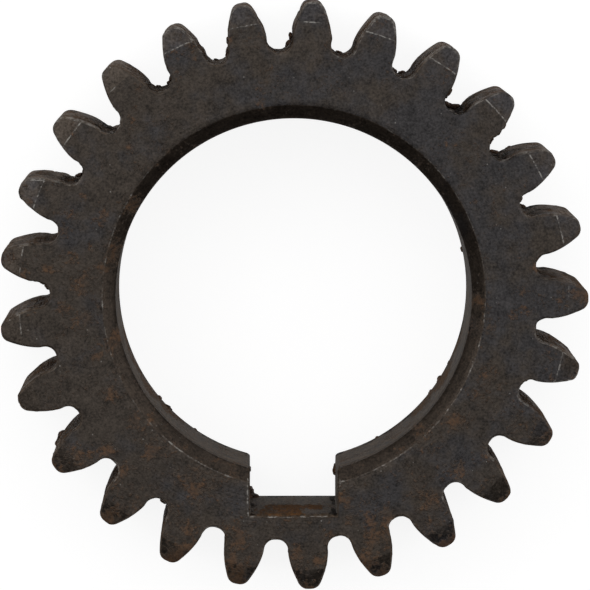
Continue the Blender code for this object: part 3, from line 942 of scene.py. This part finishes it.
def make_steel_material(name, colours, look):
    """Steel material of one kind of surface: oxide, and over it rust, grime and worn bare metal."""
    material = bpy.data.materials.new(name)
    material.use_nodes = True
    tree = material.node_tree
    place = wires(add_node(tree, "ShaderNodeTexCoord", {}))["Object"]
    position = vector_result("MULTIPLY", place, {1: (1.0, 1.0, look.axial)})
    tint = np.array((*look.tint, 1.0))
    oxide = place_effect(position, "oxidised_steel", {
        "Steel": tuple(np.array(colours.steel) * tint), "Blued": tuple(np.array(colours.blue_steel) * tint),
        "Blueness": attribute_value(tree, "blueness") - look.brown,
        "Mottle": look.mottle, "Grain": look.grain, "Lines": look.lines})
    # The rust attribute also holds painted shade at the tips of the lower teeth.
    rust = place_effect(position, "rust_bloom", {
        "Old": tuple(colours.dark_rust), "Fresh": tuple(colours.bright_rust),
        "Amount": attribute_value(tree, "rust"), "Threshold": look.rust, "Softness": look.rust_softness})
    # The grime attribute also holds the darkening of the walls' foot.
    grime = place_effect(position, "dried_grime", {
        "Amount": attribute_value(tree, "grime"), "Threshold": look.grime})
    specks = place_effect(position, "pale_specks", {"Share": look.specks})

    lines = [(axis_distance(position) - radius, *line) for radius, *line in look.rings]
    if look.rim:
        lines.append((attribute_value(tree, "rim_gap"), *look.rim))
    if look.keyway_edge:
        lines.append((attribute_value(tree, "keyway_gap"), *look.keyway_edge))
    worn = specks["Mask"] * 0.5
    wear = attribute_value(tree, "wear")
    for gap, width, cover, strength in lines:
        line = place_effect(position, "worn_edge", {"Gap": gap, "Width": width, "Cover": wear + cover})
        worn = calculate("MAXIMUM", worn, line["Mask"] * strength)

    rusty = rust["Mask"] * look.rust_strength
    dull = calculate("MAXIMUM", rusty, grime["Mask"])
    colour = mixed_colour(rusty, oxide["Color"], rust["Color"])
    colour = mixed_colour(grime["Mask"], colour, tuple(colours.grime))
    colour = mixed_colour(worn, colour, tuple(colours.bare_metal))
    if look.chips:
        radius, width, cover = look.chips
        chips = place_effect(vector_result("ADD", position, {1: CHIP_SHIFT}), "worn_edge", {
            "Gap": axis_distance(position) - radius, "Width": width, "Cover": cover})
        colour = mixed_colour(chips["Mask"], colour, tuple(colours.grime))
    height = oxide["Height"] + rust["Height"] * 1.2 + grime["Height"] * 3.0
    bump = add_node(tree, "ShaderNodeBump", {"Strength": 1.0, "Distance": look.bump, "Height": height})
    fill_inputs(tree.nodes["Principled BSDF"], {
        "Base Color": colour,
        "Roughness": oxide["Roughness"] + look.rougher + dull * 0.25 - worn * 0.2,
        "Metallic": (1.0 - dull * 0.85) * look.metallic,
        "Normal": Wire(bump.outputs["Normal"]),
        "Specular IOR Level": look.specular,
    })
    return material


def gear_looks(form):
    """Finish of each kind of surface, by name."""
    bore_line = (form.bore_chamfer, 0.15 * MM, 0.38, 0.45)
    cone_line = (form.tip_chamfer, 0.14 * MM, 0.52, 0.5)
    edge_line = (0.25 * MM, 0.25, 0.4)
    keyway_line = (0.18 * MM, 0.5, 0.6)
    wall = Look(axial=0.6, brown=0.07, grain=2.6, lines=0.0, metallic=0.1, rougher=0.4, specular=0.1)
    return {
        "face": Look(
            rings=(bore_line, cone_line), rim=edge_line, keyway_edge=keyway_line,
            chips=(form.bore_chamfer, 0.5 * MM, 0.44)),
        "tip_chamfer": Look(
            tint=(1.25, 1.25, 1.25), mottle=1.4, lines=0.25, rust=0.68, rust_strength=0.5, rings=(cone_line,),
            rim=edge_line, metallic=0.93),
        "broken_edge": Look(
            tint=(1.5, 1.35, 1.2), mottle=2.6, lines=0.0, grime=0.75, rim=(0.4 * MM, 0.42, 0.45),
            metallic=0.25, rougher=0.3, bump=0.07 * MM, specular=0.2),
        "tooth_wall": dataclasses.replace(
            wall, tint=(2.7, 2.4, 2.14), mottle=3.8, lines=1.6, rust=0.54, rust_softness=0.2,
            rust_strength=0.85, grime=0.64, rim=(4.5 * MM, 0.55, 0.42), bump=0.12 * MM),
        "bore_chamfer": Look(
            tint=(0.95, 0.88, 0.82), brown=0.18, rust=0.61, rings=(bore_line,), keyway_edge=keyway_line,
            metallic=0.75),
        "bore_wall": dataclasses.replace(wall, tint=(1.42, 1.27, 1.12), mottle=2.8, grime=0.7),
        "keyway": dataclasses.replace(
            wall, tint=(1.4, 1.25, 1.1), axial=0.22, mottle=2.6, rust=0.68, rust_strength=1.0, grime=0.72,
            keyway_edge=keyway_line, bump=0.08 * MM),
    }


def blueness(plan):
    """How much cooler the steel looks: more to one side of the gear than to the other, and most in places."""
    towards = plan @ direction(BLUE_SIDE) / np.linalg.norm(plan, axis=-1)
    return 0.085 * towards - 0.01 + 0.13 * place_field(plan, BLUE_PLACES)


def keyway_gap(points, form, sizes):
    """Distance from the outer line of the keyway's broken edge: on the face and on the edge the difference of
    its width and the distance from the keyway's rectangle, and in the keyway the depth."""
    beside = np.maximum(0.0, np.abs(points[..., 0]) - sizes.keyway_width / 2)
    beyond = np.maximum(0.0, -points[..., 1] - form.bore - sizes.keyway_depth)
    above = np.maximum(0.0, points[..., 1])
    depth = np.maximum(0.0, form.face - points[..., 2] - KEYWAY_EDGE)
    return np.abs(np.hypot(beside, beyond) - KEYWAY_EDGE) + above + depth


def keyway_floor(surface):
    """1 on the points of the keyway's floor and 0 on all others."""
    return (surface.on_bands("bore_wall", "bore_rim") & surface.on_floor).astype(float)


def tooth_rust_and_tip_shade(points, surface):
    """Rust of the teeth: a thin cover that is stronger towards one side, more at the tips of the lower teeth,
    where it also paints the shade of chamfers that face away from the light, and runs down the flanks."""
    plan = points[..., :2]
    radius = np.linalg.norm(plan, axis=-1)
    towards = np.clip(plan @ direction(RUSTY_SIDE) / radius, 0.0, 1.0)
    cover = (0.07 + 0.16 * towards) * ramp(radius, 35.5 * MM, 3.0 * MM)
    # More rust at the tips of the lower teeth: partly rust, partly painted shade of chamfers that face away
    # from the light.
    lower = np.clip(0.5 - 2.0 * plan[..., 1] / radius, 0.0, 1.0)
    tips = 0.55 * lower * ramp(radius, 41.8 * MM, 0.7 * MM)
    runs = 0.8 * np.clip(1.5 * rough_noise(streaked(points, 0.2), 1.5 * MM, FLANK_RUST_SEED), 0.0, 1.0)
    return cover + tips + runs * surface.on_bands("tooth_wall")


def bore_rust(points, surface):
    """Rust of the bore: it creeps up the wall from the back, and on the keyway's floor lie a streak across
    the middle of its depth and a wash that runs from there to the front on the left."""
    x = points[..., 0] / MM
    depth = points[..., 2] / surface.form.face
    reach = DEEP_RUST_REACH * place_field(points[..., :2], DEEP_RUST_PLACES)
    deep = 0.75 * ramp(reach - depth, 0.0, 1 / 6) * surface.on_bands("bore_wall")
    streak = np.exp(-((depth - 0.6) / 0.1) ** 2) * (1.0 - ramp(np.abs(x), 3.9, 1.0))
    wash = ramp(depth, 0.6, 0.125) * ramp(x, -5.6, 1.0) * (1.0 - ramp(x, 0.8, 1.0))
    return deep + np.maximum(1.15 * streak, 0.7 * wash) * keyway_floor(surface)


def rust_and_tip_shade(points, surface):
    """Rust of the places, of the teeth and of the bore, with painted shade at the lower teeth's tips, and a
    little more rust towards -Y.
    """
    low = np.clip(0.05 - points[..., 1] / (200 * MM), 0.0, 0.22)
    places = place_field(points[..., :2], RUST_PLACES)
    return low + places + tooth_rust_and_tip_shade(points, surface) + bore_rust(points, surface)


def tooth_grime(points, surface):
    """Grime on the walls of the teeth: in uneven stripes along the roots, and in spots up the flanks."""
    radius = np.linalg.norm(points[..., :2], axis=-1)
    uneven = np.clip(0.7 + 0.8 * rough_noise(streaked(points, 0.15), 1.6 * MM, ROOT_GRIME_SEED), 0.0, 1.0)
    roots = 0.24 * uneven * (1.0 - ramp(radius, 36.2 * MM, 3.0 * MM))
    spotted = rough_noise(streaked(points, 0.2), 1.3 * MM, FLANK_SPOT_SEED)
    spots = 0.36 * np.clip(1.8 * spotted - 0.1, 0.0, 1.0)
    return np.maximum(roots, spots) * surface.on_bands("tooth_wall")


def foot_darkening(points, surface):
    """Darkening of the foot of the walls and of the bore's back chamfer, over the lowest few millimetres
    and unevenly."""
    radius = np.linalg.norm(points[..., :2], axis=-1)
    height = (points[..., 2] - surface.form.back(radius)) / MM
    uneven = 0.9 * lattice_noise(streaked(points, 0.0), 2.2 * MM, FOOT_DARKENING_SEED)
    on_foot = surface.on_bands("bore_wall", "tooth_wall", "bore_chamfer")
    return 0.75 * np.clip(1.4 + uneven - height / 2.2, 0.0, 1.0) * on_foot


def keyway_grime(points, surface):
    """Grime in the two corners of the keyway."""
    return 0.55 * ramp(np.abs(points[..., 0]), 4.9 * MM, MM) * keyway_floor(surface)


def wear_bias(plan, form):
    """How much more or less an edge is worn: smooth noise and the worn places, less at the sound places, and
    far less at the tips of the lower teeth, which keeps their chamfers dark: partly whole oxide, partly
    painted shade, as these chamfers face away from the light."""
    flat = np.concatenate((plan, np.zeros(plan.shape[:-1] + (1,))), axis=-1)
    radius = np.linalg.norm(plan, axis=-1)
    # No bright worn lines at the lower tips: partly whole oxide, partly painted shade.
    lower_tips = (radius > form.tip_chamfer - 2 * MM) & (plan[..., 1] < -0.35 * radius)
    bias = 0.1 * lattice_noise(flat, 14.0 * MM, EDGE_WEAR_SEED) - 0.6 * lower_tips
    return bias + place_field(plan, WORN_PLACES) - place_field(plan, SOUND_PLACES)


def material_numbers(surface, names):
    """Number of each face's material: that of its row's band, and the keyway's own where both sides of the
    face lie in the keyway."""
    number = {name: index for index, name in enumerate(names)}
    number["bore_rim"] = number["bore_chamfer"]
    of_band = np.array([number[band] for band in surface.band])[:, None]
    in_keyway = surface.in_keyway & np.roll(surface.in_keyway, -1) & surface.on_bands("bore_wall", "bore_rim")
    return np.where(in_keyway, number["keyway"], of_band).reshape(-1)


class GEAR_OT_toothed_gear(bpy.types.Operator):
    """Add the worn gear as one closed surface with its finish"""

    bl_idname = "gear.toothed_gear"
    bl_label = "Toothed gear"

    def execute(self, context):
        scene = context.scene
        sizes = scene.gear_sizes
        surface = GearSurface(sizes)
        form = surface.form
        points, rim_gap = surface.build()
        plan = points[..., :2]
        worn, scale_grime = wear_surface(points, rim_gap, surface, scene.gear_wear)
        looks = gear_looks(form)
        materials = [make_steel_material(name, scene.gear_colours, look) for name, look in looks.items()]
        gear = mesh_object(
            "toothed_gear", worn.reshape(-1, 3), grid_faces(*rim_gap.shape), materials,
            material_numbers(surface, looks))
        # The grime here also holds the darkening over the lowest few millimetres of the walls.
        grime = scale_grime + tooth_grime(points, surface)
        grime += foot_darkening(points, surface) + keyway_grime(points, surface)
        add_point_values(gear.data, "rim_gap", rim_gap)
        add_point_values(gear.data, "keyway_gap", keyway_gap(points, form, sizes))
        # The rust attribute also holds painted shade at the tips of the lower teeth.
        add_point_values(gear.data, "rust", rust_and_tip_shade(points, surface))
        add_point_values(gear.data, "blueness", blueness(plan))
        add_point_values(gear.data, "grime", grime)
        add_point_values(gear.data, "wear", wear_bias(plan, form))
        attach(gear, GEAR_BODY)
        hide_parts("gear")
        return {"FINISHED"}


class GEAR_OT_rust_scale(bpy.types.Operator):
    """Add the lumps of rust scale that stick out of the walls"""

    bl_idname = "gear.rust_scale"
    bl_label = "Rust scale"

    def execute(self, context):
        scene = context.scene
        surface = GearSurface(scene.gear_sizes)
        points, faces = scale_lumps(surface, scene.gear_wear.seed)
        look = dataclasses.replace(
            gear_looks(surface.form)["tooth_wall"], tint=(2.3, 1.75, 1.5), rim=(), rust=0.5, grime=0.78,
            specks=0.0)
        material = make_steel_material("rust_scale", scene.gear_colours, look)
        scale = mesh_object("rust_scale", points, faces, [material], np.zeros(len(faces)))
        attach(scale, GEAR_BODY)
        return {"FINISHED"}


class GEAR_OT_studio(bpy.types.Operator):
    """Add the floor, the light and the camera"""

    bl_idname = "gear.studio"
    bl_label = "Studio"

    def execute(self, context):
        scene = context.scene
        self.add_floor(scene)
        self.add_lights(scene)
        self.add_room(scene)
        self.add_camera(scene)
        scene.view_settings.view_transform = "Standard"
        return {"FINISHED"}

    def add_floor(self, scene):
        """Square floor: a grid of points at the corners of even squares. The light that it adds to its look
        shows only to the camera, in reflections and through glass."""
        line = np.linspace(-FLOOR_REACH, FLOOR_REACH, FLOOR_POINTS)
        x, y = np.meshgrid(line, line)
        points = np.stack((x, y, np.full_like(x, GEAR_LOW.z - FLOOR_GAP)), axis=-1)
        index = np.arange(x.size).reshape(x.shape)
        quads = np.stack((index[:-1, :-1], index[:-1, 1:], index[1:, 1:], index[1:, :-1]), axis=-1)
        quads = quads.reshape(-1, 4)
        material = bpy.data.materials.new("studio_floor")
        material.use_nodes = True
        tree = material.node_tree
        path = wires(add_node(tree, "ShaderNodeLightPath", {}))
        mirrored = calculate("MAXIMUM", path["Is Glossy Ray"], path["Is Transmission Ray"])
        seen = calculate("MAXIMUM", path["Is Camera Ray"], mirrored)
        fill_inputs(tree.nodes["Principled BSDF"], {
            "Base Color": scene.gear_colours.floor,
            "Roughness": 0.9,
            "Specular IOR Level": 0.0,
            "Emission Color": (1.0, 1.0, 1.0, 1.0),
            "Emission Strength": seen * scene.studio.floor_radiance,
        })
        mesh_object("studio_floor", points.reshape(-1, 3), quads, [material], np.zeros(len(quads)))

    def add_lights(self, scene):
        """A large softbox above, set back so that it reaches less far towards -Y, and three panels that face
        the gear from the right, the back and the left."""
        studio = scene.studio
        self.add_softbox(scene, "top_softbox", TOP_PLACE, TOP_SIZE, studio.top_radiance, aimed=False)
        for name, azimuth, elevation, size, strength in SIDE_PANELS:
            turn, rise = math.radians(azimuth), math.radians(elevation)
            place = Vector((math.cos(turn) * math.cos(rise), math.sin(turn) * math.cos(rise), math.sin(rise)))
            radiance = studio.panel_radiance * strength
            self.add_softbox(scene, name, place * PANEL_DISTANCE, size, radiance, aimed=True)

    def add_softbox(self, scene, name, place, size, radiance, aimed):
        """Rectangular lamp, level or aimed at the gear. Its energy is radiance times pi times its area."""
        data = bpy.data.lights.new(name, "AREA")
        data.shape = "RECTANGLE"
        data.size, data.size_y = size
        data.energy = radiance * math.pi * size[0] * size[1]
        lamp = bpy.data.objects.new(name, data)
        lamp.location = place
        if aimed:
            lamp.rotation_euler = Vector(place).to_track_quat("Z", "Y").to_euler()
        scene.collection.objects.link(lamp)

    def add_room(self, scene):
        """Even dim light from all round."""
        room = bpy.data.worlds.new("room")
        room.use_nodes = True
        background = room.node_tree.nodes["Background"]
        background.inputs["Color"].default_value = (1.0, 1.0, 1.0, 1.0)
        background.inputs["Strength"].default_value = scene.studio.world_radiance
        scene.world = room

    def add_camera(self, scene):
        """Camera almost straight above, leaning a little towards the picture's top."""
        studio = scene.studio
        tilt, swing = studio.camera_tilt, studio.camera_swing
        right = Vector((math.cos(swing), 0.0, -math.sin(swing)))
        up = Vector((-math.sin(swing) * math.sin(tilt), math.cos(tilt), -math.cos(swing) * math.sin(tilt)))
        back = right.cross(up)
        data = bpy.data.cameras.new("camera")
        data.sensor_width = 36.0
        data.lens = studio.focal_length
        data.shift_x, data.shift_y = studio.frame_shift
        data.clip_start, data.clip_end = 0.01, 50.0
        camera = bpy.data.objects.new("camera", data)
        place = Vector((0.0, 0.0, scene.gear_sizes.face_width)) + back * studio.camera_distance
        camera.matrix_world = Matrix.Translation(place) @ Matrix((right, up, back)).transposed().to_4x4()
        scene.collection.objects.link(camera)
        scene.camera = camera


class GEAR_PT_panel(bpy.types.Panel):
    """Sizes, colours and the pieces to add"""

    bl_idname = "GEAR_PT_panel"
    bl_label = "Toothed gear"
    bl_space_type = "VIEW_3D"
    bl_region_type = "UI"
    bl_category = "Toothed gear"

    def draw(self, context):
        layout = self.layout
        for operator in OPERATORS:
            layout.operator(operator.bl_idname)
        for name in SETTINGS:
            box = layout.box()
            box.label(text=name.replace("_", " ").capitalize())
            group = getattr(context.scene, name)
            for key in group.bl_rna.properties.keys():
                if key not in ("rna_type", "name"):
                    box.prop(group, key)


SETTINGS = {
    "gear_sizes": GearSizes, "gear_wear": GearWear, "gear_colours": GearColours, "studio": StudioSettings,
}
OPERATORS = (GEAR_OT_toothed_gear, GEAR_OT_rust_scale, GEAR_OT_studio)
CLASSES = (*SETTINGS.values(), *OPERATORS, GEAR_PT_panel)


def register():
    for kind in CLASSES:
        bpy.utils.register_class(kind)
    for name, kind in SETTINGS.items():
        setattr(bpy.types.Scene, name, bpy.props.PointerProperty(type=kind))


def unregister():
    for name in SETTINGS:
        delattr(bpy.types.Scene, name)
    for kind in reversed(CLASSES):
        bpy.utils.unregister_class(kind)


def main():
    register()
    bpy.ops.gear.toothed_gear()
    bpy.ops.gear.rust_scale()
    bpy.ops.gear.studio()


if __name__ == "__main__":
    main()
